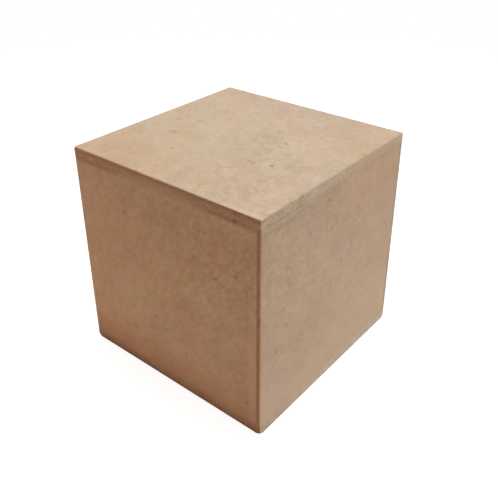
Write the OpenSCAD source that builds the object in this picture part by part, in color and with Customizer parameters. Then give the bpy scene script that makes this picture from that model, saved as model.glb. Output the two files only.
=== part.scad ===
// Wooden cube: a closed, hollow cube of raw fibreboard, glued up from six boards.
// The top and bottom boards are full size. Four equal walls stand between them.
// Each wall is rebated at one end and square at the other. The walls follow one
// another round the cube, so at each corner a thin lip end shows on one side only.
// The origin is at the centre of the underside, and the cube stands on z = 0.

/* [Cube] */
// Outside length of each side of the cube
cube_side = 120; // [80:1:200]

/* [Boards] */
// Thickness of the fibreboard that all six boards are cut from
board_t = 5.5; // [4:0.5:9]

/* [Corner joints] */
// Thickness of the lip left on the outside of each rebated wall end
lip_t = 2.2; // [1.5:0.1:3]
// Thickness of the glue film between boards that meet
glue_line = 0.1; // [0.05:0.05:0.3]

/* [Edges] */
// Width of the sanded chamfer along the cube's own arrises
outer_chamfer = 0.4; // [0.2:0.1:0.8]
// Width of the fine chamfer along arrises where two boards meet in a seam
seam_chamfer = 0.2; // [0.1:0.05:0.4]
// How far each rubbed bottom corner reaches along its three arrises
corner_rub = 2.2; // [1:0.1:3.5]

/* [Hidden] */

// Turns
quarter_turn = 90;
half_turn = 2 * quarter_turn;
full_turn = 2 * half_turn;
eighth_turn = quarter_turn / 2;

// Planes that the front wall, and with it every wall, is set out from
half_side = cube_side / 2;
outer_face = -half_side;
inner_face = outer_face + board_t;
lip_inner_face = outer_face + lip_t;
rebate_shoulder = inner_face + glue_line;
square_end = half_side - lip_t - glue_line;
wall_foot = board_t + glue_line;
wall_head = cube_side - board_t - glue_line;

// Lean of the cube's body diagonal from the upright, and how deep the rubbed corners are cut along it
diagonal_lean = atan(sqrt(2));
rub_depth = corner_rub / sqrt(3);

// Raw fibreboard, a little different from board to board
top_board_colour = [0.81, 0.71, 0.61];
bottom_board_colour = [0.78, 0.68, 0.57];
front_wall_colour = [0.76, 0.64, 0.53];
right_wall_colour = [0.79, 0.68, 0.57];
back_wall_colour = [0.78, 0.66, 0.55];
left_wall_colour = [0.77, 0.65, 0.54];

// Extrudes its children along X, with their first axis across Y and their second up Z
module along_x() {
    rotate([quarter_turn, 0, quarter_turn])
        linear_extrude(cube_side, center = true)
            children();
}

// Extrudes its children along Y, with their first axis across X and their second up Z
module along_y() {
    rotate([quarter_turn, 0, 0])
        linear_extrude(cube_side, center = true)
            children();
}

// Plan of a full-size board, with the cube's four upright arrises eased
module board_plan() {
    eased = half_side - outer_chamfer;
    polygon([
        [-half_side, -eased],
        [-eased, -half_side],
        [eased, -half_side],
        [half_side, -eased],
        [half_side, eased],
        [eased, half_side],
        [-eased, half_side],
        [-half_side, eased]
    ]);
}

// Side view of a full-size board lying on the base line, with its own chamfer below and above
module board_section(low_chamfer, high_chamfer) {
    polygon([
        [-half_side + low_chamfer, 0],
        [half_side - low_chamfer, 0],
        [half_side, low_chamfer],
        [half_side, board_t - high_chamfer],
        [half_side - high_chamfer, board_t],
        [-half_side + high_chamfer, board_t],
        [-half_side, board_t - high_chamfer],
        [-half_side, low_chamfer]
    ]);
}

// Full-size board lying on z = 0, eased along every arris
module full_board(low_chamfer, high_chamfer) {
    intersection() {
        linear_extrude(board_t)
            board_plan();
        along_x()
            board_section(low_chamfer, high_chamfer);
        along_y()
            board_section(low_chamfer, high_chamfer);
    }
}

// Block whose upper face takes off the corner at the origin, square to the body diagonal
module corner_cut() {
    rotate([0, diagonal_lean, eighth_turn])
        translate([-half_side, -half_side, rub_depth - cube_side])
            cube(cube_side);
}

// Plan of the front wall: lip and rebate at its left end, square at its right end
module wall_plan() {
    polygon([
        [outer_face + outer_chamfer, outer_face],
        [square_end - seam_chamfer, outer_face],
        [square_end, outer_face + seam_chamfer],
        [square_end, inner_face],
        [rebate_shoulder, inner_face],
        [rebate_shoulder, lip_inner_face],
        [outer_face + seam_chamfer, lip_inner_face],
        [outer_face, lip_inner_face - seam_chamfer],
        [outer_face, outer_face + outer_chamfer]
    ]);
}

// Upright section of a wall, from the outer face to far_face, eased at the top and bottom seams
module wall_section(far_face) {
    polygon([
        [outer_face, wall_foot + seam_chamfer],
        [outer_face + seam_chamfer, wall_foot],
        [far_face, wall_foot],
        [far_face, wall_head],
        [outer_face + seam_chamfer, wall_head],
        [outer_face, wall_head - seam_chamfer]
    ]);
}

// One wall, where the front wall stands
module wall_board() {
    intersection() {
        linear_extrude(cube_side)
            wall_plan();
        along_x()
            wall_section(inner_face);
        along_y()
            wall_section(square_end);
    }
}

// Top board, resting on the heads of the four walls
module top_panel() {
    color(top_board_colour)
        translate([0, 0, cube_side - board_t])
            full_board(seam_chamfer, outer_chamfer);
}

// Bottom board, with its four lower corners rubbed off
module bottom_panel() {
    color(bottom_board_colour)
        difference() {
            full_board(outer_chamfer, seam_chamfer);
            for (turn = [0 : quarter_turn : full_turn - quarter_turn])
                rotate(turn)
                    translate([-half_side, -half_side, 0])
                        corner_cut();
        }
}

// Wall on the -Y side: it laps the left wall, and the right wall laps it
module front_panel() {
    color(front_wall_colour)
        wall_board();
}

// Wall on the +X side
module right_panel() {
    color(right_wall_colour)
        rotate(quarter_turn)
            wall_board();
}

// Wall on the +Y side
module back_panel() {
    color(back_wall_colour)
        rotate(half_turn)
            wall_board();
}

// Wall on the -X side
module left_panel() {
    color(left_wall_colour)
        rotate(-quarter_turn)
            wall_board();
}

top_panel();
bottom_panel();
front_panel();
right_panel();
back_panel();
left_panel();
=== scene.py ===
import math
import random

import bmesh
import bpy
from mathutils import Matrix, Vector


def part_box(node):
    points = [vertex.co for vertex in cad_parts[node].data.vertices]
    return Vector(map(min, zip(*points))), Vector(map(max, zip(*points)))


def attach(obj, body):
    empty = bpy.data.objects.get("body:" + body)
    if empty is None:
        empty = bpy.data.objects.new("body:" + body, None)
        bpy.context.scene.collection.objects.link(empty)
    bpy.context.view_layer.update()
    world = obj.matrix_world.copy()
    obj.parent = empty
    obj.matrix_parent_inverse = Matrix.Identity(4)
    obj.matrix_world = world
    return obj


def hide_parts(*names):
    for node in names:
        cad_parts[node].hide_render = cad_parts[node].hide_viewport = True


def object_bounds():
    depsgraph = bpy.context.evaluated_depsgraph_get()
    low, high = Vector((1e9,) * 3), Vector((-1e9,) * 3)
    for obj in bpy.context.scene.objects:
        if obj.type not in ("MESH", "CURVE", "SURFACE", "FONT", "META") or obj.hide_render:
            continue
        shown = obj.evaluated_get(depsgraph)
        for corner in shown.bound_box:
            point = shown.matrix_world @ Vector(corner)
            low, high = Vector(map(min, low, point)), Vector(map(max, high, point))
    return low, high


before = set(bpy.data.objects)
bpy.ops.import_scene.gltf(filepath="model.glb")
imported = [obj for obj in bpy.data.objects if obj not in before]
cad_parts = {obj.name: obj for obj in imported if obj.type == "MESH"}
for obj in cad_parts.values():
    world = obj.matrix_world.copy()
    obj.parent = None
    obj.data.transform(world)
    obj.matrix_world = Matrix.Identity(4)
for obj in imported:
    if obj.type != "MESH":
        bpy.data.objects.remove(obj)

# A closed, hollow cube of raw fibreboard: full-size top and bottom boards, and four equal walls
# that follow one another round the cube with rebated corner joints.

MM = 0.001

# ---- sizes, measured on the frame

cube_low, cube_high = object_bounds()
top_low, top_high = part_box("top_panel")
_, wall_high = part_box("front_panel")

CUBE_SIDE = cube_high.z - cube_low.z
HALF_SIDE = CUBE_SIDE / 2
BOARD = top_high.z - top_low.z
GLUE_LINE = top_low.z - wall_high.z
LIP = HALF_SIDE - wall_high.x - GLUE_LINE

# Planes that the front wall, and with it every wall, is set out from
OUTER_FACE = -HALF_SIDE
INNER_FACE = OUTER_FACE + BOARD
LIP_INNER_FACE = OUTER_FACE + LIP
REBATE_SHOULDER = INNER_FACE + GLUE_LINE

# The glue fills the joints almost to the surface, so only a share of each glue line shows
SHOWN_SHARE = 0.2
SHOWN_JOINT = GLUE_LINE * SHOWN_SHARE
SQUARE_END = HALF_SIDE - LIP - SHOWN_JOINT
WALL_FOOT = BOARD + SHOWN_JOINT
WALL_HEAD = top_low.z - SHOWN_JOINT

# Sanded edges. An ease is the width of a rounded arris. Along a tight seam the edges stay square.
OUTER_EASE = 0.35 * MM
SEAM_EASE = 0.20 * MM
TIGHT_SEAM = 0.0
WIDEST_EASE = 1.6 * MM
EASE_STEPS = 3
ARRIS_STEP = 4.5 * MM
ARRIS_MARGIN = 4 * MM
RUB_STEPS = 4
SMOOTH_ANGLE = math.radians(40)
SAME_POINT = 0.001 * MM

# The least and most that an ease or a step varies by, from place to place
SEAM_VARIES = (0.6, 1.4)
ARRIS_VARIES = (0.65, 1.35)
LIP_VARIES = (0.75, 1.25)
STEP_VARIES = (-0.3, 0.3)

# Of a direction, the share along an axis that counts as lying along it
ALONG_AXIS = 0.9

# ---- camera

LENS = 48.25
SENSOR = 36.0
FRAME_PIXELS = 498
LENS_AXIS_ABOVE_CENTRE = 49.5
CAMERA_PLACE = Vector((1.7006, -2.0243, 2.1078)) * CUBE_SIDE
CAMERA_AZIMUTH = math.radians(39.411)
CAMERA_ELEVATION = math.radians(27.891)
CAMERA_ROLL = math.radians(-0.231)

# ---- light
# A level of 1 lights a surface that faces the lamp so that its colour renders as it is written.

ROOM_LEVEL = 0.30
FLOOR_BOUNCE = 0.30
FLOOR_SHADOW_SHARE = 0.45
FLOOR_WHITE_FROM = 0.50
FLOOR_SHADOW_NEAR = 2.5 * CUBE_SIDE
FLOOR_SHADOW_FAR = 6 * CUBE_SIDE
FLOOR_GAP = 0.02 * MM
FLOOR_SIZE = 40 * CUBE_SIDE
WHITE_LIGHT = (1.0, 1.0, 1.0)
WARM_LIGHT = (1.0, 0.60, 0.37)

# name, azimuth, height, distance, size, level, colour. Azimuth 0 stands before the front wall and
# 90 before the right one; height and distance are from the middle of the cube's underside.
LAMPS = [
    ("overhead_softbox", 0, 1.06, 0, 0.8, 0.51, WHITE_LIGHT),
    ("back_softbox", 180, 0.71, 1.13, 0.8, 0.45, WHITE_LIGHT),
    ("left_side_fill", 250, 0.30, 1.20, 0.8, 0.25, WHITE_LIGHT),
    ("right_low_lamp", 90, 0.035, 0.30, 0.06, 0.223, WHITE_LIGHT),
    ("right_rear_low_lamp", 132, 0.035, 0.30, 0.06, 0.076, WHITE_LIGHT),
    ("front_low_lamp", 0, 0.035, 0.30, 0.06, 0.117, WARM_LIGHT),
    ("front_left_low_lamp", -42, 0.035, 0.30, 0.06, 0.075, WARM_LIGHT),
]


def paint(red, green, blue):
    """The linear colour of a paint swatch given as screen values from 11 to 255."""
    linear = (((value / 255 + 0.055) / 1.055) ** 2.4 for value in (red, green, blue))
    return (*linear, 1.0)


BARK_BROWN = paint(120, 88, 60)
PALE_FIBRE = paint(232, 214, 190)
SCORCHED_SKIN = paint(60, 40, 25)
# Grime, and painted shade: this colour darkens the feet of the walls and the bottom board, and the
# wall heads just under the top seam, as painted shade, and marks real specks and dirt elsewhere.
GRIME_AND_PAINTED_SHADE = paint(96, 62, 40)
DARK_SPECK = paint(96, 70, 48)
WARM_HANDLING = paint(206, 158, 116)
SEAM_DUST = paint(196, 170, 146)
# Painted light: pale pools, highlights along arrises and under the seams, and the paler foot of
# the right wall.
PALE_PAINTED_LIGHT = paint(224, 204, 178)
RUDDY_BROWN = paint(204, 130, 94)
DEEP_RUDDY = paint(190, 108, 76)
GOLDEN_FIBRE = paint(206, 178, 130)
PALE_STRAW = paint(196, 186, 146)
PLAIN_EDGE = paint(196, 165, 136)
# Painted warm light: soft warm pools and bright lines where light falls.
PAINTED_WARM_LIGHT = paint(240, 190, 154)
WARM_RUB = paint(232, 166, 122)

# ---- node helpers


def plug_in(tree, socket, value):
    """Links value to the socket if it is another socket, and sets it as a plain value if not."""
    if isinstance(value, bpy.types.NodeSocket):
        tree.links.new(value, socket)
    elif value is not None:
        socket.default_value = value


def add_node(tree, kind, inputs=None, **settings):
    """One node with its settings, and its inputs filled by name or by number."""
    node = tree.nodes.new(kind)
    for name, value in settings.items():
        setattr(node, name, value)
    for name, value in (inputs or {}).items():
        plug_in(tree, node.inputs[name], value)
    return node


def arithmetic(tree, operation, first, second=None, third=None):
    """The result of one Math node."""
    inputs = {0: first, 1: second, 2: third}
    return add_node(tree, "ShaderNodeMath", inputs, operation=operation).outputs["Value"]


def times(tree, first, second):
    return arithmetic(tree, "MULTIPLY", first, second)


def combine(tree, operation, first, second):
    """The vector that one Vector Math node gives."""
    inputs = {0: first, 1: second}
    return add_node(tree, "ShaderNodeVectorMath", inputs, operation=operation).outputs["Vector"]


def stretch(tree, vector, factor):
    """A vector times a number."""
    inputs = {0: vector, "Scale": factor}
    return add_node(tree, "ShaderNodeVectorMath", inputs, operation="SCALE").outputs["Vector"]


def length_of(tree, vector):
    return add_node(tree, "ShaderNodeVectorMath", {0: vector}, operation="LENGTH").outputs["Value"]


def fade(tree, value, start, end, low=0.0, high=1.0):
    """Goes smoothly from low to high as value goes from start to end."""
    node = add_node(
        tree,
        "ShaderNodeMapRange",
        {"Value": value, "From Min": start, "From Max": end, "To Min": low, "To Max": high},
        interpolation_type="SMOOTHSTEP",
    )
    return node.outputs["Result"]


def blend_colours(tree, share, under, over, blend_type="MIX"):
    """The colour under, with share of the colour over laid on it."""
    node = add_node(tree, "ShaderNodeMix", data_type="RGBA", blend_type=blend_type)
    sockets = {socket.identifier: socket for socket in node.inputs}
    plug_in(tree, sockets["Factor_Float"], share)
    plug_in(tree, sockets["A_Color"], under)
    plug_in(tree, sockets["B_Color"], over)
    return next(socket for socket in node.outputs if socket.identifier == "Result_Color")


def blend_numbers(tree, share, under, over):
    """Goes from the number under to the number over as share goes from 0 to 1."""
    difference = arithmetic(tree, "SUBTRACT", over, under)
    return arithmetic(tree, "MULTIPLY_ADD", difference, share, under)


def noise(tree, place, size, detail=2.0, roughness=0.5, distortion=0.0):
    """Cloudy noise from 0 to 1 whose patches are about size across."""
    inputs = {
        "Vector": place,
        "Scale": 1 / size,
        "Detail": detail,
        "Roughness": roughness,
        "Distortion": distortion,
    }
    return add_node(tree, "ShaderNodeTexNoise", inputs).outputs[0]


def departures(tree, layers, strength):
    """The sum of each layer's departure from its middle times its weight, times the strength."""
    total = 0.0
    for layer, weight in layers:
        departure = arithmetic(tree, "SUBTRACT", layer, 0.5)
        total = arithmetic(tree, "MULTIPLY_ADD", departure, weight, total)
    return times(tree, total, strength)


def swing(tree, colour, amount, direction):
    """A colour times 1 plus an amount of a direction in red, green and blue."""
    factor = combine(tree, "ADD", stretch(tree, direction, amount), (1.0, 1.0, 1.0))
    return blend_colours(tree, 1.0, colour, factor, "MULTIPLY")


def along_lay(tree, place, start, lay, scale):
    """Coordinates from another start, turned so that X lies along the lay, and drawn out."""
    inputs = {
        "Vector": place,
        "Location": start,
        "Rotation": (0, 0, math.radians(lay)),
        "Scale": scale,
    }
    node = add_node(tree, "ShaderNodeMapping", inputs, vector_type="TEXTURE")
    return node.outputs["Vector"]


def split(tree, vector):
    """The X, Y and Z sockets of a vector."""
    return add_node(tree, "ShaderNodeSeparateXYZ", {"Vector": vector}).outputs


VALUE = "NodeSocketFloat"
COLOUR = "NodeSocketColor"
VECTOR = "NodeSocketVector"
SURFACE = [("Colour", COLOUR), ("Height", VALUE), ("Roughness", VALUE)]


def new_group(name, inputs, outputs):
    """An empty node group with a Place, these other named inputs and these outputs, and the
    sockets of its two ends."""
    group = bpy.data.node_groups.new(name, "ShaderNodeTree")
    for socket_name, kind, value in [("Place", VECTOR, None)] + inputs:
        socket = group.interface.new_socket(name=socket_name, in_out="INPUT", socket_type=kind)
        if value is not None:
            socket.default_value = value
    for socket_name, kind in outputs:
        group.interface.new_socket(name=socket_name, in_out="OUTPUT", socket_type=kind)
    given = group.nodes.new("NodeGroupInput").outputs
    result = group.nodes.new("NodeGroupOutput").inputs
    return group, given, result


def place_group(tree, group, **inputs):
    """Places a node group, fills its inputs, which are named in lower case with underscores, and
    returns its outputs."""
    node = add_node(tree, "ShaderNodeGroup", node_tree=group)
    for name, value in inputs.items():
        plug_in(tree, node.inputs[name.replace("_", " ").title()], value)
    return node.outputs


# ---- shared finishes

# Ways for a colour to vary, in red, green and blue: fibres that are paler are also whiter
PALER_IS_WHITER = (0.78, 1.0, 1.27)
YELLOW_LEAN = (0.130, 0.072, -0.190)
PINK_LEAN = (0.099, -0.130, 0.034)


def make_fibre_group():
    """Fine short fibres that lie every way in the face of a board."""
    group, given, result = new_group("Pressed fibres", [], [("Fibres", VALUE)])
    fibre_length = 2.6 * MM
    fibre_width = 0.50 * MM
    # the turn of each lay in degrees, and where its pattern starts, so that no two lays match
    lays = [
        (12, (0, 0, 0)),
        (57, (0.37, 0.19, 0)),
        (101, (-0.29, 0.41, 0)),
        (149, (0.17, -0.53, 0)),
    ]
    total = 0.0
    for lay, start in lays:
        drawn_out = (1, fibre_width / fibre_length, 1)
        place = along_lay(group, given["Place"], start, lay, drawn_out)
        strands = noise(group, place, fibre_length, detail=1.0, distortion=0.6)
        total = arithmetic(group, "ADD", strands, total)
    plug_in(group, result["Fibres"], arithmetic(group, "DIVIDE", total, len(lays)))
    return group


def make_fleck_group():
    """Scattered small flecks. Bare Share is the share of cells that hold none."""
    group, given, result = new_group(
        "Scattered flecks",
        [("Spacing", VALUE, 6 * MM), ("Size", VALUE, 0.5 * MM), ("Bare Share", VALUE, 0.7)],
        [("Flecks", VALUE)],
    )
    waver_size = 1.1 * MM
    waver_reach = 0.9 * MM
    waver = add_node(
        group,
        "ShaderNodeTexNoise",
        {"Vector": given["Place"], "Scale": 1 / waver_size, "Detail": 1.0},
    )
    centred = combine(group, "SUBTRACT", waver.outputs["Color"], (0.5, 0.5, 0.5))
    place = combine(group, "ADD", given["Place"], stretch(group, centred, waver_reach))
    density = arithmetic(group, "DIVIDE", 1.0, given["Spacing"])
    cells = add_node(group, "ShaderNodeTexVoronoi", {"Vector": place, "Scale": density})
    away = times(group, cells.outputs["Distance"], given["Spacing"])
    chance = split(group, cells.outputs["Color"])
    size = times(group, given["Size"], chance["Y"])
    inside = arithmetic(group, "SUBTRACT", 1.0, arithmetic(group, "DIVIDE", away, size))
    soft = fade(group, inside, start=0.0, end=0.6)
    kept = arithmetic(group, "GREATER_THAN", chance["X"], given["Bare Share"])
    plug_in(group, result["Flecks"], times(group, soft, kept))
    return group


def sprinkle(tree, fleck_group, place, share, under, over, **pattern):
    """The colour under, with flecks of the colour over sprinkled on it."""
    flecks = place_group(tree, fleck_group, place=place, **pattern)["Flecks"]
    return blend_colours(tree, times(tree, flecks, share), under, over)


def make_face_group(fibre_group, fleck_group):
    """The pressed and sanded face of a fibreboard: clouds of hue, mottle, fibres and flecks."""
    group, given, result = new_group(
        "Fibreboard face",
        [
            ("Colour", COLOUR, paint(200, 172, 144)),
            ("Clouds", VALUE, 1.0),
            ("Mottle", VALUE, 1.0),
            ("Grain", VALUE, 1.0),
            ("Bark Flecks", VALUE, 0.10),
            ("Pale Flecks", VALUE, 0.16),
        ],
        SURFACE,
    )
    place = given["Place"]
    colour = given["Colour"]
    # size of the clouds, how broken they are, where their pattern starts, and which way they lean
    hues = [
        (11 * MM, 0.70, (0, 0, 0), YELLOW_LEAN),
        (10 * MM, 0.66, (0.21, 0.06, 0), PINK_LEAN),
    ]
    for size, broken, start, lean in hues:
        cloud_place = combine(group, "ADD", place, start)
        cloud = noise(group, cloud_place, size, detail=4.0, roughness=broken)
        colour = swing(group, colour, departures(group, [(cloud, 1.0)], given["Clouds"]), lean)

    broad = noise(group, place, size=24 * MM, detail=1.0)
    medium = noise(group, place, size=9 * MM)
    small = noise(group, place, size=4 * MM)
    fine = noise(group, place, size=2.2 * MM)
    fibres = place_group(group, fibre_group, place=place)["Fibres"]
    mottle = departures(group, [(broad, 0.22), (medium, 0.24), (small, 0.24)], given["Mottle"])
    grain = departures(group, [(fine, 0.34), (fibres, 0.42)], given["Grain"])
    colour = swing(group, colour, arithmetic(group, "ADD", mottle, grain), PALER_IS_WHITER)

    bark = {"spacing": 5 * MM, "size": 2 * MM, "bare_share": 0.45}
    colour = sprinkle(group, fleck_group, place, given["Bark Flecks"], colour, BARK_BROWN, **bark)
    pale = {"spacing": 4 * MM, "size": 0.9 * MM, "bare_share": 0.65}
    pale_start = (0.031, 0.017, 0)
    place = combine(group, "ADD", place, pale_start)
    colour = sprinkle(group, fleck_group, place, given["Pale Flecks"], colour, PALE_FIBRE, **pale)

    plug_in(group, result["Colour"], colour)
    fine_share = 0.5
    raised = arithmetic(group, "MULTIPLY_ADD", fine, fine_share, fibres)
    plug_in(group, result["Height"], times(group, raised, given["Grain"]))
    sheen = arithmetic(group, "ADD", medium, fibres)
    roughness = fade(group, sheen, start=0.6, end=1.4, low=0.93, high=0.78)
    plug_in(group, result["Roughness"], roughness)
    return group


def make_edge_group(fleck_group):
    """The sawn edge of a board, from its outer face at depth 0 to its inner face: a dense dark
    skin at each arris, and a rougher core."""
    group, given, result = new_group(
        "Sawn edge",
        [
            ("Depth", VALUE, 0.0),
            ("Colour", COLOUR, paint(186, 156, 127)),
            ("Outer Skin", VALUE, 0.10),
            ("Inner Skin", VALUE, 0.10),
            ("Crumble", VALUE, 1.0),
        ],
        SURFACE,
    )
    place = given["Place"]
    colour = given["Colour"]
    outer_skin = fade(group, given["Depth"], start=BOARD * 0.52, end=BOARD * 0.20)
    inner_skin = fade(group, given["Depth"], start=BOARD * 0.55, end=BOARD * 0.90)
    for skin, darkness in ((outer_skin, given["Outer Skin"]), (inner_skin, given["Inner Skin"])):
        share = times(group, skin, darkness)
        colour = blend_colours(group, share, colour, SCORCHED_SKIN)

    broad = noise(group, place, size=12 * MM)
    small = noise(group, place, size=4 * MM)
    crumbs = noise(group, place, size=1.3 * MM, detail=3.0, roughness=0.65)
    flatness = 7
    flattened = add_node(group, "ShaderNodeMapping", {"Vector": place, "Scale": (1, 1, flatness)})
    streaks = noise(group, flattened.outputs["Vector"], size=5 * MM, roughness=0.6)
    layers = [(broad, 0.16), (small, 0.16), (crumbs, 0.34), (streaks, 0.26)]
    colour = swing(group, colour, departures(group, layers, given["Crumble"]), PALER_IS_WHITER)
    pale = {"spacing": 2.6 * MM, "size": 0.9 * MM, "bare_share": 0.55}
    pale_share = 0.20
    colour = sprinkle(group, fleck_group, place, pale_share, colour, PALE_FIBRE, **pale)

    plug_in(group, result["Colour"], colour)
    plug_in(group, result["Height"], crumbs)
    roughness = fade(group, crumbs, start=0.3, end=0.7, low=0.97, high=0.86)
    plug_in(group, result["Roughness"], roughness)
    return group


def make_mark_group():
    """One mark at a chosen place on a face. Raggedness 0 gives a soft round patch."""
    group, given, result = new_group(
        "Mark on a face",
        [
            ("Centre", VECTOR, None),
            ("Reach", VECTOR, (MM, MM, MM)),
            ("Raggedness", VALUE, 1.0),
        ],
        [("Mark", VALUE)],
    )
    away = combine(group, "SUBTRACT", given["Place"], given["Centre"])
    distance = length_of(group, combine(group, "DIVIDE", away, given["Reach"]))
    crumbs = noise(group, given["Place"], size=0.9 * MM)
    ragged = arithmetic(group, "SUBTRACT", crumbs, 0.5)
    uneven = arithmetic(group, "MULTIPLY_ADD", ragged, given["Raggedness"], distance)
    plug_in(group, result["Mark"], fade(group, uneven, start=1.2, end=0.2))
    return group


# How far the pattern of a face is drawn out along the lay of its fibres
FIBRE_PULL = (1.35, 1, 1)

# The faces are roughest at this corner of the cube, and grow smoother as far as this from it
ROUGH_CORNER = Vector((HALF_SIDE, -HALF_SIDE, CUBE_SIDE))
ROUGH_REACH = 125 * MM

FIBRES = make_fibre_group()
FLECKS = make_fleck_group()
FACE = make_face_group(FIBRES, FLECKS)
EDGE = make_edge_group(FLECKS)
MARK = make_mark_group()

# ---- board materials


def laid_flat(turn):
    """Turns a wall's coordinates so that it lies flat: X along it from its lip, Y up it and Z out
    of it."""
    laid_down = Matrix.Rotation(math.radians(-90), 3, "X")
    return (laid_down @ Matrix.Rotation(-turn, 3, "Z")).to_euler()


class BoardFinish:
    """The material of one board, built up layer by layer. Lay turns the board flat, and
    outer_plane is how high its outer face then lies."""

    def __init__(self, name, lay, outer_plane):
        self.material = bpy.data.materials.new(name)
        self.material.use_nodes = True
        self.tree = self.material.node_tree
        self.tree.nodes.clear()
        self.outer_plane = outer_plane
        coordinates = add_node(self.tree, "ShaderNodeTexCoord").outputs
        from_corner = combine(self.tree, "SUBTRACT", coordinates["Object"], ROUGH_CORNER)
        self.from_rough_corner = length_of(self.tree, from_corner)
        self.place = self.turned(coordinates["Object"], lay)
        self.facing = split(self.tree, self.turned(coordinates["Normal"], lay))
        self.along, self.up, self.out = (split(self.tree, self.place)[axis] for axis in "XYZ")
        self.depth = arithmetic(self.tree, "SUBTRACT", outer_plane, self.out)

    def turned(self, vector, lay):
        mapping = add_node(self.tree, "ShaderNodeMapping", {"Vector": vector, "Rotation": lay})
        return mapping.outputs["Vector"]

    def turned_to(self, axis, from_share, to_share):
        """1 where the surface faces along the axis, either way."""
        share = arithmetic(self.tree, "ABSOLUTE", self.facing[axis])
        return fade(self.tree, share, from_share, to_share)

    def on_front(self, front):
        """1 where the surface faces the cube's front, which lies along Y times front here."""
        share = times(self.tree, self.facing["Y"], front)
        return fade(self.tree, share, start=0.0, end=0.5)

    def faces(
        self,
        colour,
        lay,
        clouds=1.0,
        mottle=(1.0, 1.0),
        grain=(1.0, 1.0),
        bark_flecks=0.10,
        pale_flecks=0.16,
        start=(0.0, 0.0, 0.0),
    ):
        """The broad faces. Lay is the direction that the pressed fibres favour, from along to up,
        mottle and grain are how strong these are at the rough corner and far from it, and start is
        where the pattern starts."""
        near_and_far = (self.from_rough_corner, 0.0, ROUGH_REACH)
        made = place_group(
            self.tree,
            FACE,
            place=along_lay(self.tree, self.place, start, lay, FIBRE_PULL),
            colour=colour,
            clouds=clouds,
            mottle=fade(self.tree, *near_and_far, *mottle),
            grain=fade(self.tree, *near_and_far, *grain),
            bark_flecks=bark_flecks,
            pale_flecks=pale_flecks,
        )
        self.colour = made["Colour"]
        self.height = made["Height"]
        self.roughness = made["Roughness"]

    def edges(self, colours, outer_skins, inner_skins, crumbles, wraps):
        """Sawn edges. Each pair is for the sides, which face along Y, and then for the ends, which
        face along X. An edge starts where the surface faces less than its wrap outwards."""
        tree = self.tree
        is_end = self.turned_to("X", from_share=0.6, to_share=0.8)
        colour = blend_colours(tree, is_end, *colours)
        outer_skin, inner_skin, crumble, wrap = (
            blend_numbers(tree, is_end, side, end)
            for side, end in (outer_skins, inner_skins, crumbles, wraps)
        )
        made = place_group(
            tree,
            EDGE,
            place=self.place,
            depth=self.depth,
            colour=colour,
            outer_skin=outer_skin,
            inner_skin=inner_skin,
            crumble=crumble,
        )
        outwards = arithmetic(tree, "ABSOLUTE", self.facing["Z"])
        is_edge = fade(tree, arithmetic(tree, "SUBTRACT", wrap, outwards), start=0.0, end=0.2)
        self.colour = blend_colours(tree, is_edge, self.colour, made["Colour"])
        self.height = blend_numbers(tree, is_edge, self.height, made["Height"])
        self.roughness = blend_numbers(tree, is_edge, self.roughness, made["Roughness"])

    def lay_over(self, mask, share, colour):
        """Lays share of a colour over the finish where the mask is 1."""
        strength = times(self.tree, mask, share)
        self.colour = blend_colours(self.tree, strength, self.colour, colour)

    def bands(self, bands):
        """Soft bands along the board."""
        for start, end, share, colour in bands:
            self.lay_over(fade(self.tree, self.up, start * MM, end * MM), share, colour)

    def dabs(self, size, share, colour):
        """Soft dabs of a colour, about size across, here and there on the board."""
        pattern = noise(self.tree, self.place, size)
        self.lay_over(fade(self.tree, pattern, start=0.40, end=0.26), share, colour)

    def mark_at(self, centre, reach, share, colour, raggedness):
        mark = place_group(
            self.tree, MARK, place=self.place, centre=centre, reach=reach, raggedness=raggedness
        )["Mark"]
        self.lay_over(mark, share, colour)

    def marks(self, kinds):
        """Marks on the outer face, kind by kind."""
        for colour, raggedness, marks in kinds:
            for along, up, length, width, share in marks:
                centre = (along * MM, up * MM, self.outer_plane)
                reach = (length * MM, width * MM, BOARD * 2)
                self.mark_at(centre, reach, share, colour, raggedness)

    def edge_marks(self, marks, low_z, front):
        """Marks on the sawn edges of a board that starts at low_z. The cube's front lies along Y
        times front here."""
        for side, along, height, length, width, share, colour, raggedness in marks:
            place = (along * MM, -HALF_SIDE, low_z + height * MM)
            reach = (length * MM, BOARD, width * MM)
            if side == "right":
                place = (HALF_SIDE, along * MM, place[2])
                reach = (BOARD, length * MM, width * MM)
            centre = (place[0], -front * place[1], -front * place[2])
            self.mark_at(centre, reach, share, colour, raggedness)

    def finish(self):
        tree = self.tree
        bump = add_node(
            tree,
            "ShaderNodeBump",
            {"Height": self.height, "Strength": 0.25, "Distance": 0.08 * MM},
        )
        surface = add_node(
            tree,
            "ShaderNodeBsdfPrincipled",
            {
                "Base Color": self.colour,
                "Roughness": self.roughness,
                "Normal": bump.outputs["Normal"],
                "Specular IOR Level": 0.12,
            },
        )
        add_node(tree, "ShaderNodeOutputMaterial", {"Surface": surface.outputs["BSDF"]})
        return self.material


# Marks and bands are in millimetres on the board laid flat: along it from its middle, and up it.
# A kind of mark has a colour, a raggedness, and rows of along, up, length, width and share.
# A band has the height where it starts and where it is full, a share and a colour.

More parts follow.
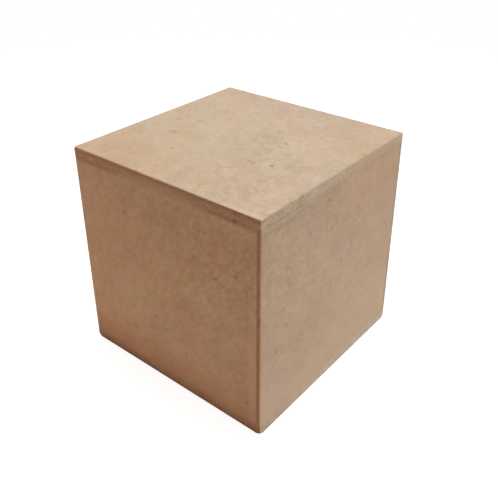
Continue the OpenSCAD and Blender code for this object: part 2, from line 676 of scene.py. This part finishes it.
TOP_HANDLED = [(WARM_HANDLING, 0.1, [(-40, -52, 46, 22, 0.16)])]
TOP_FRONT_BANDS = [(0, -59, 0.12, WARM_HANDLING)]
TOP_ARRIS_BANDS = [(-58.7, -59.7, 0.05, GRIME_AND_PAINTED_SHADE)]
TOP_MARKS = [
    (DARK_SPECK, 1.0, [
        (31.6, -16, 1.2, 1.1, 0.68), (21, 9.3, 1.5, 1.1, 0.36), (19.8, -18.2, 1.5, 1.2, 0.22),
        (-19.9, -30.5, 1.6, 1.4, 0.28), (-42.6, -53.4, 1.5, 1.3, 0.18),
        (37.2, -31.8, 1.5, 1.3, 0.3),
    ]),
    (GRIME_AND_PAINTED_SHADE, 0.4, [
        (-34.4, -14.6, 3.2, 2.4, 0.25), (-35.3, 5.2, 3.2, 2.4, 0.21), (9.6, 20.6, 2.6, 2.2, 0.21),
        (7.2, 10.8, 3.2, 2.8, 0.08),
    ]),
    (PALE_FIBRE, 0.6, [
        (30.6, -29.3, 1.9, 1.6, 0.28), (40.6, -41.7, 1.9, 1.6, 0.28), (24.6, 8.6, 1.5, 1.3, 0.3),
    ]),
    (GRIME_AND_PAINTED_SHADE, 0.2, [(24, 44, 20, 26, 0.05), (-48, 50, 18, 16, 0.04), (8, 52, 14, 12, 0.04)]),
    # Painted warm light near the back right corner.
    (PAINTED_WARM_LIGHT, 0.1, [(50, 54, 18, 14, 0.12)]),
    (GOLDEN_FIBRE, 0.1, [
        (44, 22, 30, 36, 0.17), (-32, -26, 22, 26, 0.14), (30, -44, 34, 16, 0.08),
    ]),
    (PALE_STRAW, 0.1, [(4, -18, 44, 44, 0.12)]),
    # Painted highlight: a pale band beside the right arris.
    (PALE_PAINTED_LIGHT, 0.1, [(58, -28, 12, 36, 0.14)]),
]

# The pale front rim of the top, a painted highlight along the arris: where it starts and is
# full, and how it changes between two places along it, by a share of a colour
RIM = (-55.6, -58.4)
RIM_CHANGES = [(30, -10, 0.16, PAINTED_WARM_LIGHT), (-10, 60, 0.50, PALE_PAINTED_LIGHT)]

# Specks and smears on the front seam: along it, length, width and share
SEAM_SPECKS = [
    (46, 1.7, 1.4, 0.42), (40.5, 6, 1.3, 0.18), (51.1, 1.5, 1.2, 0.18), (33, 5, 0.9, 0.14),
]
FRONT_SEAM_SPECKS = [(along, WALL_HEAD / MM, *shape) for along, *shape in SEAM_SPECKS]

# Marks on the sawn edges: side, along, height, length, width, share, colour and raggedness
TOP_EDGE_MARKS = [
    ("front", -2, 0, 39.2, 2.8, 0.40, SEAM_DUST, 0.6),
    ("right", -50, 0.5, 18, 1.5, 0.08, GRIME_AND_PAINTED_SHADE, 0.4),
    ("right", -50, 4.3, 18, 1.2, 0.07, GRIME_AND_PAINTED_SHADE, 0.4),
    # Painted highlight on the right edge at the near corner.
    ("right", -58.6, 2, 3, 1.7, 0.24, PALE_PAINTED_LIGHT, 0.4),
    ("right", 42, 2.75, 26, 5.5, 0.12, WARM_HANDLING, 0.2),
    # Painted warm light along the upper front edge near the left corner.
    ("front", -54, 4.8, 9, 1, 0.16, PAINTED_WARM_LIGHT, 0.3),
]
TOP_EDGE_MARKS += [("front", along, 0, *shape, GRIME_AND_PAINTED_SHADE, 0.8) for along, *shape in SEAM_SPECKS]
BOTTOM_EDGE_MARKS = [
    # Painted shade at the left part of the front edge.
    ("front", -48, 2.75, 34, 11, 0.11, GRIME_AND_PAINTED_SHADE, 0.2),
    # Painted warm light at the right part of the front edge.
    ("front", 48, 2.75, 20, 11, 0.05, PAINTED_WARM_LIGHT, 0.2),
    ("right", -52, 2.75, 18, 11, 0.16, WARM_HANDLING, 0.2),
    ("right", -54, 2.75, 14, 11, 0.03, GRIME_AND_PAINTED_SHADE, 0.2),
]

# Chips in the top arris over the right wall: place along it, and how much wider the arris is there
TOP_CHIPS = [(-54, 2.6), (-39.6, 2.4), (-31.2, 2.2)]
CHIP_REACH = 2.0
CHIP_MARK = (1.2 * MM, 1.3 * MM, 1.2 * MM)

# Painted shade on the front wall: darker and ruddier towards the foot, and darker just under the
# top seam.
FRONT_BANDS = [
    (26, 4, 0.16, GRIME_AND_PAINTED_SHADE),
    (11, 4, 0.16, GRIME_AND_PAINTED_SHADE),
    (28, 9, 0.09, DEEP_RUDDY),
    (111.8, 114.2, 0.20, GRIME_AND_PAINTED_SHADE),
]
FRONT_MARKS = [
    (PALE_STRAW, 0.1, [(-36, 44, 32, 46, 0.07)]),
    (GRIME_AND_PAINTED_SHADE, 0.8, [
        (34.1, 80.4, 1.4, 1.3, 0.4), (46, 86.8, 1.5, 1.4, 0.3), (51.6, 81, 1.3, 1.1, 0.3),
        (3.4, 36, 1.7, 1.4, 0.2), (52.2, 16.2, 1.4, 1.6, 0.36), (21, 87.2, 1.7, 1.4, 0.26),
        (-25.2, 94.6, 1.5, 1.9, 0.24), (36.6, 78.7, 1.7, 1.3, 0.22), (46.1, 78.1, 1.6, 1.3, 0.2),
        (28, 102.6, 1.6, 1.3, 0.24), (41.3, 50.2, 1.5, 1.4, 0.18), (-26.2, 24.4, 1.8, 1.5, 0.16),
    ]),
    (PALE_FIBRE, 0.6, [
        (25.1, 58, 1.7, 1.5, 0.27), (32.1, 23.9, 1.7, 1.5, 0.2), (-21.1, 40.2, 2.2, 1.4, 0.21),
        (38.3, 76, 1.6, 1.2, 0.22),
    ]),
    (GRIME_AND_PAINTED_SHADE, 0.8, FRONT_SEAM_SPECKS),
    # Ruddy specks; the two broad patches at the foot are painted shade.
    (RUDDY_BROWN, 0.5, [
        (-34.8, 95.4, 4.5, 2.5, 0.16), (-25.8, 25.2, 5, 2.5, 0.16), (-30, 12, 26, 8, 0.1),
        (18, 12, 28, 8, 0.12), (46, 92, 26, 30, 0.07),
    ]),
    # Painted shade: ruddy darkening along the foot.
    (DEEP_RUDDY, 0.6, [(-44, 14, 18, 7, 0.1), (-8, 9, 16, 4, 0.09), (30, 8, 12, 5, 0.08)]),
    # Painted light: two soft pale pools on the face.
    (PALE_PAINTED_LIGHT, 0.2, [(-30, 44, 44, 22, 0.08), (26, 56, 28, 26, 0.08)]),
    # Painted warm light: a bright line beside the right arris, a pool at the right end of the
    # foot, a line under the seam and a highlight at the top right corner.
    (PAINTED_WARM_LIGHT, 0.1, [
        (55.4, 36, 3.4, 50, 0.2), (46, 8, 18, 14, 0.12), (44, 18, 14, 9, 0.1),
        (42, 112.4, 18, 2, 0.09), (57, 110.5, 2.4, 3.4, 0.16),
    ]),
    # Painted shade: broad dull patches near the head and the foot; the narrow one darkens the left
    # arris.
    (GRIME_AND_PAINTED_SHADE, 0.2, [
        (12, 100, 46, 14, 0.05), (-30, 109, 26, 8, 0.05), (-42, 10, 30, 8, 0.05),
        (-60, 88, 2.6, 34, 0.1),
    ]),
    (SEAM_DUST, 0.6, [(-2, 114.2, 36, 2.4, 0.32)]),
    # Painted shade just under the top seam, dark and then ruddy.
    (GRIME_AND_PAINTED_SHADE, 0.4, [
        (-55, 113.6, 9, 2, 0.12), (-44, 113.6, 24, 1.8, 0.06), (44, 114.4, 16, 1.5, 0.12),
    ]),
    (RUDDY_BROWN, 0.4, [(-44, 114, 24, 1.8, 0.2)]),
]

# Painted light and shade on the right wall: paler towards its foot, and faintly darker just under
# the top seam.
RIGHT_BANDS = [(42, 6, 0.22, PALE_PAINTED_LIGHT), (112.8, 114.6, 0.02, GRIME_AND_PAINTED_SHADE)]
RIGHT_MARKS = [
    (DARK_SPECK, 0.8, [
        (-48.1, 44.4, 1.9, 1.1, 0.38), (-43.4, 66, 1.9, 1.2, 0.24), (-9.4, 108.9, 1.8, 1.4, 0.24),
        (-23.3, 97, 1.9, 1.5, 0.15), (-40.4, 55.3, 1.9, 1.5, 0.18), (-4.8, 92.4, 1.9, 1.7, 0.13),
        (5.4, 67.8, 1.9, 1.9, 0.11), (12, 49.2, 1.8, 1.6, 0.12), (-15, 42, 1.8, 1.6, 0.1),
    ]),
    (PALE_FIBRE, 0.6, [
        (-27.2, 81.5, 2, 1.5, 0.34), (-40, 84.8, 1.8, 1.5, 0.36), (20.5, 85, 2, 1.6, 0.24),
    ]),
    # Painted warm light: along the front corner, at the front end of the foot and under the head
    # at the far end.
    (PAINTED_WARM_LIGHT, 0.1, [
        (-54, 60, 14, 75, 0.07), (-44, 6, 40, 18, 0.1), (34, 107, 34, 9, 0.1),
        (50, 109, 14, 7, 0.08),
    ]),
    (GOLDEN_FIBRE, 0.1, [(-50, 96, 30, 24, 0.1)]),
    (WARM_RUB, 0.1, [(-60, 52, 3.6, 75, 0.22)]),
    (RUDDY_BROWN, 0.2, [(-60, 100, 1.6, 36, 0.16), (2, 111.6, 14, 3, 0.11)]),
    (DEEP_RUDDY, 0.2, [(14, 94, 56, 30, 0.045), (54, 84, 14, 22, 0.035)]),
    (GRIME_AND_PAINTED_SHADE, 0.2, [(0, 72, 44, 22, 0.022), (42, 70, 12, 14, 0.03)]),
    # Painted shade just under the top seam at its front end.
    (GRIME_AND_PAINTED_SHADE, 0.2, [(-46, 111.4, 20, 3, 0.12), (-46, 114.5, 22, 0.8, 0.08)]),
    # Painted highlight: pale lines where the head of the wall catches the light under the seam.
    (PALE_PAINTED_LIGHT, 0.5, [
        (-58, 113.7, 4, 1, 0.16), (-44, 113.5, 24, 0.9, 0.16), (-24, 113.9, 14, 0.9, 0.2),
    ]),
]

# Painted shade on the back and left walls: darker towards the foot and just under the top seam.
PLAIN_BANDS = [(24, 4, 0.08, GRIME_AND_PAINTED_SHADE), (112.4, 114.6, 0.08, GRIME_AND_PAINTED_SHADE)]


def top_board_material():
    finish = BoardFinish("raw_fibreboard_top", lay=(0, 0, 0), outer_plane=CUBE_SIDE)
    tree = finish.tree
    finish.faces(
        paint(204, 180, 155),
        lay=-51,
        clouds=0.92,
        mottle=(1.45, 0.84),
        grain=(1.15, 0.34),
        bark_flecks=0.08,
    )
    finish.dabs(size=7 * MM, share=0.13, colour=BARK_BROWN)
    finish.bands(TOP_FRONT_BANDS)
    finish.marks(TOP_HANDLED)
    # Painted highlight along the front arris of the top.
    rim = fade(tree, finish.up, *(place * MM for place in RIM))
    for from_along, to_along, share, colour in RIM_CHANGES:
        there = fade(tree, finish.along, from_along * MM, to_along * MM, 0.0, share)
        finish.lay_over(rim, there, colour)
    finish.marks(TOP_MARKS)
    finish.bands(TOP_ARRIS_BANDS)
    # Painted shade: the sawn edge that faces the front is given a darker colour than the other
    # edges.
    side_colour = blend_colours(tree, finish.on_front(-1), PLAIN_EDGE, paint(182, 143, 113))
    end_crumble = fade(tree, finish.up, start=8 * MM, end=-44 * MM, low=1.4, high=2.5)
    finish.edges(
        colours=(side_colour, paint(206, 181, 153)),
        outer_skins=(0.19, 0.0),
        inner_skins=(0.04, 0.05),
        crumbles=(2.1, end_crumble),
        wraps=(0.80, 0.65),
    )
    finish.edge_marks(TOP_EDGE_MARKS, low_z=top_low.z, front=-1)
    for along, _ in TOP_CHIPS:
        chip = (HALF_SIDE, along * MM, CUBE_SIDE)
        finish.mark_at(chip, CHIP_MARK, share=0.25, colour=DARK_SPECK, raggedness=0.6)
    return finish.finish()


def bottom_board_material():
    turned_over = (math.radians(180), 0, 0)
    finish = BoardFinish("raw_fibreboard_bottom", lay=turned_over, outer_plane=0.0)
    tree = finish.tree
    finish.faces(paint(198, 170, 142), lay=20, start=(0.31, 0.17, 0.23))
    # Painted shade: the sawn edge that faces the front is given a darker colour than the other
    # edges, and the front and back edges darken towards the floor through their outer skin.
    front = finish.on_front(1)
    side_colour = blend_colours(tree, front, PLAIN_EDGE, paint(172, 136, 107))
    finish.edges(
        colours=(side_colour, paint(208, 184, 158)),
        outer_skins=(0.26, 0.0),
        inner_skins=(0.0, 0.0),
        crumbles=(2.6, 1.9),
        wraps=(0.8, 0.8),
    )
    # Painted shade on the front edge: ruddier in its upper part and darker towards the floor.
    long_side = finish.turned_to("Y", from_share=0.5, to_share=0.9)
    painted_shade_side = times(tree, long_side, front)
    upper_part = fade(tree, finish.depth, start=BOARD * 0.3, end=BOARD * 0.8)
    finish.lay_over(times(tree, upper_part, painted_shade_side), share=0.08, colour=DEEP_RUDDY)
    foot = fade(tree, finish.depth, start=BOARD, end=BOARD * 0.2)
    finish.lay_over(times(tree, foot, painted_shade_side), share=0.28, colour=GRIME_AND_PAINTED_SHADE)
    finish.edge_marks(BOTTOM_EDGE_MARKS, low_z=0.0, front=1)
    return finish.finish()


def wall_material(wall):
    name = "raw_fibreboard_" + wall["name"].split("_")[0]
    finish = BoardFinish(name, laid_flat(wall["turn"]), HALF_SIDE)
    finish.faces(**wall["face"])
    finish.bands(wall["bands"])
    finish.marks(wall["marks"])
    outer_skin, inner_skin = wall["end_skins"]
    finish.edges(
        colours=(wall["end"], wall["end"]),
        outer_skins=(outer_skin, outer_skin),
        inner_skins=(inner_skin, inner_skin),
        crumbles=(2.6, 2.6),
        wraps=(0.6, 0.6),
    )
    return finish.finish()


# ---- modelling helpers


def switch_to(mode):
    bpy.ops.object.mode_set(mode=mode)


def choose(board):
    """Selects this board alone and makes it the active one."""
    bpy.ops.object.select_all(action="DESELECT")
    board.select_set(True)
    bpy.context.view_layer.objects.active = board


def start_block(name, low, high):
    """A block between two corners, to be shaped in edit mode."""
    bpy.ops.object.select_all(action="DESELECT")
    bpy.ops.mesh.primitive_cube_add(
        size=1,
        location=(Vector(low) + Vector(high)) / 2,
        scale=Vector(high) - Vector(low),
    )
    block = bpy.context.object
    block.name = name
    block.data.name = name
    bpy.ops.object.transform_apply(location=True, rotation=True, scale=True)
    return block


def pick(board, element, wanted):
    """In edit mode, selects only those verts, edges or faces for which wanted() is true."""
    modes = {"verts": "VERT", "edges": "EDGE", "faces": "FACE"}
    bpy.ops.mesh.select_mode(type=modes[element])
    bpy.ops.mesh.select_all(action="DESELECT")
    shape = bmesh.from_edit_mesh(board.data)
    for item in getattr(shape, element):
        if wanted(item):
            item.select_set(True)
    bmesh.update_edit_mesh(board.data)


def cut_across(axis, places):
    """In edit mode, cuts the whole board across one axis at each place."""
    direction = Vector((0, 0, 0))
    direction[axis] = 1
    for place in places:
        bpy.ops.mesh.select_all(action="SELECT")
        bpy.ops.mesh.bisect(plane_co=direction * place, plane_no=direction)


def uneven_places(chance, low, high):
    """Places from low to high, about a step apart, so that an arris can vary along its length."""
    room = high - low - 2 * ARRIS_MARGIN
    count = max(1, round(room / ARRIS_STEP))
    step = room / count
    places = [low + ARRIS_MARGIN]
    for index in range(1, count):
        places.append(low + ARRIS_MARGIN + step * (index + chance.uniform(*STEP_VARIES)))
    places.append(high - ARRIS_MARGIN)
    return places


def merge_doubles():
    """Merges the points that rounding the arrises left on one another."""
    switch_to("EDIT")
    bpy.ops.mesh.select_mode(type="VERT")
    bpy.ops.mesh.select_all(action="SELECT")
    bpy.ops.mesh.remove_doubles(threshold=SAME_POINT)
    switch_to("OBJECT")


def ease_arrises(board, ease_of):
    """Rounds each edge of the board by ease_of(middle, direction), a width in metres."""
    mesh = board.data
    weights = mesh.attributes.new("bevel_weight_edge", "FLOAT", "EDGE")
    for edge in mesh.edges:
        start, end = (mesh.vertices[index].co for index in edge.vertices)
        ease = ease_of((start + end) / 2, (end - start).normalized())
        weights.data[edge.index].value = ease / WIDEST_EASE
    choose(board)
    rounding = board.modifiers.new("eased arrises", "BEVEL")
    rounding.width = WIDEST_EASE
    rounding.segments = EASE_STEPS
    rounding.limit_method = "WEIGHT"
    rounding.use_clamp_overlap = False
    bpy.ops.object.modifier_apply(modifier=rounding.name)
    merge_doubles()
    bpy.ops.object.shade_smooth_by_angle(angle=SMOOTH_ANGLE)
    flats = board.modifiers.new("flat faces", "WEIGHTED_NORMAL")
    flats.keep_sharp = True
    bpy.ops.object.modifier_apply(modifier=flats.name)


def near(first, second, slack=0.01 * MM):
    return abs(first - second) < slack


# ---- boards


def full_board(name, low_z, high_z, seam_z, chance, arris_wear, rubbed_corners):
    """A full-size board. seam_z is the level of the face that meets the walls, and rubbed_corners
    lists the outer corners that are worn round, as their sides in X and Y and how far in
    millimetres."""
    board = start_block(name, (-HALF_SIDE, -HALF_SIDE, low_z), (HALF_SIDE, HALF_SIDE, high_z))
    outer_z = low_z + high_z - seam_z
    switch_to("EDIT")
    for side_x, side_y, rub in rubbed_corners:
        corner = Vector((side_x * HALF_SIDE, side_y * HALF_SIDE, outer_z))
        pick(board, "verts", lambda vertex: (vertex.co - corner).length < MM)
        bpy.ops.mesh.bevel(offset=rub * MM, segments=RUB_STEPS, affect="VERTICES")
    for axis in (0, 1):
        cut_across(axis, uneven_places(chance, -HALF_SIDE, HALF_SIDE))
    switch_to("OBJECT")

    def ease_of(middle, direction):
        sides = near(abs(middle.x), HALF_SIDE) + near(abs(middle.y), HALF_SIDE)
        upright = abs(direction.z) > ALONG_AXIS
        if upright and sides == 2:
            return OUTER_EASE
        if sides == 1 and near(middle.z, seam_z) and not upright:
            return SEAM_EASE * arris_wear(middle, True) * chance.uniform(*SEAM_VARIES)
        if sides == 1 and near(middle.z, outer_z) and not upright:
            return OUTER_EASE * arris_wear(middle, False) * chance.uniform(*ARRIS_VARIES)
        return 0.0

    ease_arrises(board, ease_of)
    return board


def wall_blank(name):
    """A wall where the front one stands: a square-ended block, and the lip drawn out of its other
    end."""
    board = start_block(
        name, (REBATE_SHOULDER, OUTER_FACE, WALL_FOOT), (SQUARE_END, INNER_FACE, WALL_HEAD)
    )

    def is_lip_root(face):
        return face.normal.x < -ALONG_AXIS and face.calc_center_median().y < LIP_INNER_FACE

    switch_to("EDIT")
    cut_across(1, [LIP_INNER_FACE])
    pick(board, "faces", is_lip_root)
    bpy.ops.mesh.extrude_region_move(
        TRANSFORM_OT_translate={"value": (OUTER_FACE - REBATE_SHOULDER, 0, 0)}
    )
    switch_to("OBJECT")
    return board


def finish_wall(board, turn, chance, head_wear, lip_wear):
    """Eases a wall's arrises where the front wall stands, and then turns it to its own side.
    lip_wear is how far the arris of the lip is worn at the foot and at the head."""
    choose(board)
    switch_to("EDIT")
    cut_across(0, uneven_places(chance, REBATE_SHOULDER, SQUARE_END))
    cut_across(2, uneven_places(chance, WALL_FOOT, WALL_HEAD))
    switch_to("OBJECT")

    def ease_of(middle, direction):
        at_head = near(middle.z, WALL_HEAD)
        at_foot = near(middle.z, WALL_FOOT)
        outside = near(middle.y, OUTER_FACE)
        lip_end = near(middle.x, OUTER_FACE)
        upright = abs(direction.z) > ALONG_AXIS
        shows = lip_end or outside and abs(direction.x) > ALONG_AXIS
        if upright and outside and lip_end:
            wear = part_way(lip_wear, middle.z / CUBE_SIDE)
            return OUTER_EASE * wear * chance.uniform(*LIP_VARIES)
        if upright and (lip_end or outside and near(middle.x, SQUARE_END)):
            return SEAM_EASE * chance.uniform(*SEAM_VARIES)
        if at_head and shows:
            return SEAM_EASE * head_wear(middle.x) * chance.uniform(*SEAM_VARIES)
        if at_foot and shows:
            return SEAM_EASE * TIGHT_SEAM
        return 0.0

    ease_arrises(board, ease_of)
    board.rotation_euler.z = turn
    bpy.ops.object.transform_apply(location=False, rotation=True, scale=False)


def copy_of(board, name):
    twin = board.copy()
    twin.data = board.data.copy()
    twin.name = name
    twin.data.name = name
    bpy.context.scene.collection.objects.link(twin)
    return twin


def set_in_place(board, material, node):
    board.data.materials.clear()
    board.data.materials.append(material)
    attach(board, "root")
    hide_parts(node)


# The front seam is filled flush between these two places, and open on either side of them
FILLED_FROM = -30 * MM
FILLED_TO = 26 * MM
LEFT_OF_FILLING = 1.3
RIGHT_OF_FILLING = 0.2

# Wear at the left or front end, and at the other end
RIGHT_SEAM_WEAR = (0.5, -0.1)
FRONT_ARRIS_WEAR = (2.8, 1.4)
RIGHT_ARRIS_WEAR = (1.2, 2.4)
PLAIN_WEAR = (1.0, 1.0)


def part_way(ends, share):
    """Goes from the first of two numbers to the second as share goes from 0 to 1."""
    return ends[0] + (ends[1] - ends[0]) * share


def share_along(place):
    """How far a place lies from one side of the cube to the other."""
    return (place + HALF_SIDE) / CUBE_SIDE


def front_head_wear(along):
    """How far the front seam is open at a place along it."""
    if FILLED_FROM < along < FILLED_TO:
        return TIGHT_SEAM
    return LEFT_OF_FILLING if along < 0 else RIGHT_OF_FILLING


def right_head_wear(along):
    """The seam over the right wall is tight over the lip, and closes towards its far end."""
    if along < REBATE_SHOULDER:
        return TIGHT_SEAM
    return max(TIGHT_SEAM, part_way(RIGHT_SEAM_WEAR, share_along(along)))


def plain_head_wear(along):
    return PLAIN_WEAR[0]


def top_arris_wear(middle, at_seam):
    """How far an arris of the top board is worn."""
    on_front = near(middle.y, -HALF_SIDE)
    on_right = near(middle.x, HALF_SIDE)
    if at_seam and on_front:
        return front_head_wear(middle.x)
    if at_seam and on_right:
        return right_head_wear(middle.y)
    if at_seam:
        return plain_head_wear(middle.x)
    if on_front:
        return part_way(FRONT_ARRIS_WEAR, share_along(middle.x))
    for along, growth in TOP_CHIPS:
        if on_right and abs(middle.y - along * MM) < CHIP_REACH * MM:
            return growth
    if on_right:
        return part_way(RIGHT_ARRIS_WEAR, share_along(middle.y))
    return PLAIN_WEAR[0]


def bottom_arris_wear(middle, at_seam):
    return TIGHT_SEAM if at_seam else PLAIN_WEAR[0]


TOP_SEED = 11
BOTTOM_SEED = 12


def build_top_board():
    board = full_board(
        "top_board",
        top_low.z,
        top_high.z,
        top_low.z,
        random.Random(TOP_SEED),
        top_arris_wear,
        rubbed_corners=[(-1, -1, 1.8), (1, 1, 1.4)],
    )
    set_in_place(board, top_board_material(), "top_panel")


def build_bottom_board():
    board = full_board(
        "bottom_board",
        cube_low.z,
        BOARD,
        BOARD,
        random.Random(BOTTOM_SEED),
        bottom_arris_wear,
        rubbed_corners=[(-1, -1, 3.4), (1, -1, 3.4), (1, 1, 3.8), (-1, 1, 2.6)],
    )
    set_in_place(board, bottom_board_material(), "bottom_panel")


QUARTER_TURN = math.radians(90)

PLAIN_WALL = {
    "head_wear": plain_head_wear,
    "lip_wear": PLAIN_WEAR,
    "bands": PLAIN_BANDS,
    "marks": [],
}
# The end colour of each wall is the sawn end of its lip; it changes with the way the end faces, as
# painted light and shade: darkest on the end that faces the front, palest on the one that faces
# the right.
WALLS = [
    {
        "name": "front_board",
        "node": "front_panel",
        "turn": 0.0,
        "seed": 21,
        "head_wear": front_head_wear,
        "lip_wear": PLAIN_WEAR,
        "face": {
            # Partly painted warm shade: the front wall is given a ruddier, darker colour than the
            # other boards, to carry some of the warm shade on this side.
            "colour": paint(196, 163, 132),
            "lay": 43,
            "clouds": 1.1,
            "mottle": (1.20, 0.96),
            "grain": (1.70, 0.70),
        },
        "end": paint(176, 140, 108),
        "end_skins": (0.06, 0.0),
        "bands": FRONT_BANDS,
        "marks": FRONT_MARKS,
    },
    {
        "name": "right_board",
        "node": "right_panel",
        "turn": QUARTER_TURN,
        "seed": 22,
        "head_wear": right_head_wear,
        "lip_wear": (3.1, 1.8),
        "face": {
            "colour": paint(201, 171, 144),
            "lay": -35,
            "clouds": 0.9,
            "mottle": (1.22, 0.76),
            "grain": (1.34, 0.26),
            "bark_flecks": 0.04,
            "pale_flecks": 0.28,
        },
        "end": paint(173, 133, 100),
        "end_skins": (0.0, 0.03),
        "bands": RIGHT_BANDS,
        "marks": RIGHT_MARKS,
    },
    {
        **PLAIN_WALL,
        "name": "back_board",
        "node": "back_panel",
        "turn": 2 * QUARTER_TURN,
        "seed": 23,
        "face": {"colour": paint(199, 168, 139), "lay": 70},
        "end": paint(190, 167, 141),
        "end_skins": (0.02, 0.0),
    },
    {
        **PLAIN_WALL,
        "name": "left_board",
        "node": "left_panel",
        "turn": -QUARTER_TURN,
        "seed": 24,
        "face": {"colour": paint(197, 166, 137), "lay": -60},
        "end": paint(180, 147, 117),
        "end_skins": (0.06, 0.0),
    },
]


def build_walls():
    blank = wall_blank(WALLS[0]["name"])
    boards = [blank] + [copy_of(blank, wall["name"]) for wall in WALLS[1:]]
    for board, wall in zip(boards, WALLS):
        chance = random.Random(wall["seed"])
        finish_wall(board, wall["turn"], chance, wall["head_wear"], wall["lip_wear"])
        set_in_place(board, wall_material(wall), wall["node"])


# ---- stage


def seen_or_felt(tree, felt, seen):
    """Shows the seen shader to what looks at the surface, and the felt one to the light that it
    sheds."""
    path = add_node(tree, "ShaderNodeLightPath").outputs
    looks = path["Is Camera Ray"]
    for kind in ("Is Glossy Ray", "Is Transmission Ray"):
        looks = arithmetic(tree, "MAXIMUM", looks, path[kind])
    mixed = add_node(tree, "ShaderNodeMixShader", {"Fac": looks, 1: felt, 2: seen})
    return mixed.outputs["Shader"]


def grey(level):
    return (level, level, level, 1.0)


def floor_material():
    """A pale floor that reads as white where it is lit, and keeps a faint shadow by the cube."""
    material = bpy.data.materials.new("pale_floor")
    material.use_nodes = True
    tree = material.node_tree
    tree.nodes.clear()
    away = length_of(tree, add_node(tree, "ShaderNodeTexCoord").outputs["Object"])
    share = fade(tree, away, FLOOR_SHADOW_NEAR, FLOOR_SHADOW_FAR, FLOOR_SHADOW_SHARE, 0.0)
    bounce = add_node(tree, "ShaderNodeBsdfDiffuse", {"Color": grey(FLOOR_BOUNCE)})
    shaded = add_node(tree, "ShaderNodeBsdfDiffuse", {"Color": share})
    strength = arithmetic(tree, "MULTIPLY_ADD", share, -FLOOR_WHITE_FROM, 1.0)
    glow = add_node(tree, "ShaderNodeEmission", {"Color": grey(1.0), "Strength": strength})
    white = add_node(
        tree, "ShaderNodeAddShader", {0: shaded.outputs["BSDF"], 1: glow.outputs["Emission"]}
    )
    floor = seen_or_felt(tree, bounce.outputs["BSDF"], white.outputs["Shader"])
    add_node(tree, "ShaderNodeOutputMaterial", {"Surface": floor})
    return material


def build_floor():
    bpy.ops.object.select_all(action="DESELECT")
    bpy.ops.mesh.primitive_plane_add(size=FLOOR_SIZE, location=(0, 0, -FLOOR_GAP))
    floor = bpy.context.object
    floor.name = "floor"
    floor.data.materials.append(floor_material())


def build_world():
    world = bpy.data.worlds.new("studio")
    world.use_nodes = True
    tree = world.node_tree
    tree.nodes.clear()
    room = add_node(tree, "ShaderNodeBackground", {"Color": grey(1.0), "Strength": ROOM_LEVEL})
    white = add_node(tree, "ShaderNodeBackground", {"Color": grey(1.0), "Strength": 1.0})
    around = seen_or_felt(tree, room.outputs["Background"], white.outputs["Background"])
    add_node(tree, "ShaderNodeOutputWorld", {"Surface": around})
    bpy.context.scene.world = world


def add_lamp(name, azimuth, height, distance, size, level, colour):
    """A square lamp that looks at the cube's middle, or level at its axis if it hangs lower."""
    turn = math.radians(azimuth)
    place = Vector((math.sin(turn) * distance, -math.cos(turn) * distance, height))
    aim = Vector((0, 0, min(height, HALF_SIDE)))
    lamp = bpy.data.lights.new(name, "AREA")
    lamp.shape = "SQUARE"
    lamp.size = size
    lamp.energy = level * (math.pi * (place - aim).length) ** 2
    lamp.color = colour
    holder = bpy.data.objects.new(name, lamp)
    holder.visible_camera = False
    holder.location = place
    holder.rotation_mode = "QUATERNION"
    holder.rotation_quaternion = (aim - place).to_track_quat("-Z", "Y")
    bpy.context.scene.collection.objects.link(holder)


def build_camera():
    sight = Vector(
        (
            -math.sin(CAMERA_AZIMUTH) * math.cos(CAMERA_ELEVATION),
            math.cos(CAMERA_AZIMUTH) * math.cos(CAMERA_ELEVATION),
            -math.sin(CAMERA_ELEVATION),
        )
    )
    lens = bpy.data.cameras.new("camera")
    lens.sensor_width = SENSOR
    lens.lens = LENS
    lens.shift_y = -LENS_AXIS_ABOVE_CENTRE / FRAME_PIXELS
    camera = bpy.data.objects.new("camera", lens)
    camera.location = CAMERA_PLACE
    camera.rotation_mode = "QUATERNION"
    roll = Matrix.Rotation(CAMERA_ROLL, 3, "Z").to_quaternion()
    camera.rotation_quaternion = sight.to_track_quat("-Z", "Y") @ roll
    bpy.context.scene.collection.objects.link(camera)
    bpy.context.scene.camera = camera


build_camera()
build_world()
for lamp in LAMPS:
    add_lamp(*lamp)
build_floor()
build_top_board()
build_bottom_board()
build_walls()

bpy.context.scene.view_settings.view_transform = "Standard"
